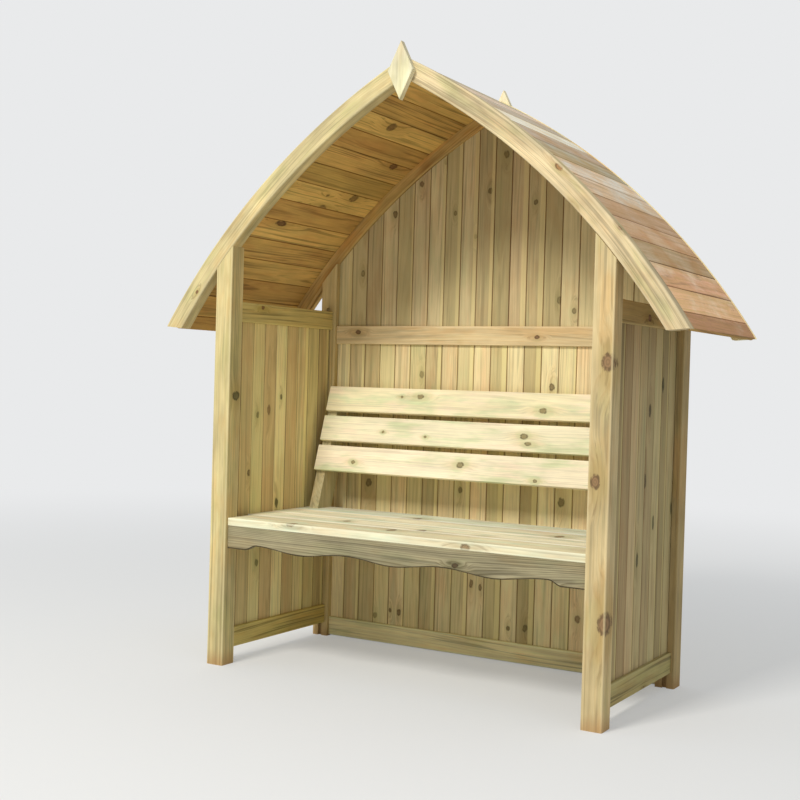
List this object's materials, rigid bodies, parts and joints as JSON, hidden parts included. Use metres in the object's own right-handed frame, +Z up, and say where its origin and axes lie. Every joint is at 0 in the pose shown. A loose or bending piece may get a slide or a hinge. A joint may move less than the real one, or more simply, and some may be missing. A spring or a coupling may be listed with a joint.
{
  "type": "garden arbour",
  "caption": "Timber garden arbour: bench with slatted leaning back, boarded sides and back, and a pointed-arch boarded roof with curved rafters.",
  "frame": {"origin": "on the ground at the middle of the arbour's bounding box in plan", "axes": "+Z up, +Y from the open front towards the boarded back, +X to the right of someone who looks at the front"},
  "size_m": [1.852, 0.7356, 2.016],
  "materials": {
    "post": "pressure-treated softwood, planed, matt",
    "rail": "pressure-treated softwood, planed, matt",
    "cladding": "pressure-treated matchboard, matt",
    "rafter": "pressure-treated softwood, planed, matt",
    "roof": "pressure-treated matchboard, weathered pale, matt",
    "finial": "pressure-treated softwood, planed, matt",
    "seat": "pressure-treated softwood, planed, matt",
    "apron": "pressure-treated softwood, planed, matt",
    "backrest": "pressure-treated softwood, planed, matt",
    "bearer": "pressure-treated softwood, sawn, matt"
  },
  "bodies": {
    "root": {"front_left_post": "post", "front_right_post": "post", "rear_left_post": "post", "rear_right_post": "post", "left_top_rail": "rail", "left_bottom_rail": "rail", "right_top_rail": "rail", "right_bottom_rail": "rail", "left_side_boards": "cladding", "right_side_boards": "cladding", "back_bottom_rail": "rail", "back_mid_rail": "rail", "back_lower_boards": "cladding", "back_upper_boards": "cladding", "front_left_rafter": "rafter", "front_right_rafter": "rafter", "rear_left_rafter": "rafter", "rear_right_rafter": "rafter", "left_roof_boards": "roof", "right_roof_boards": "roof", "front_finial": "finial", "rear_finial": "finial", "seat_board_1": "seat", "seat_board_2": "seat", "seat_board_3": "seat", "seat_board_4": "seat", "seat_apron": "apron", "left_seat_bearer": "bearer", "right_seat_bearer": "bearer", "rear_seat_bearer": "bearer", "middle_seat_bearer": "bearer", "left_backrest_support": "backrest", "right_backrest_support": "backrest", "back_slat_1": "backrest", "back_slat_2": "backrest", "back_slat_3": "backrest"}
  },
  "joints": []
}
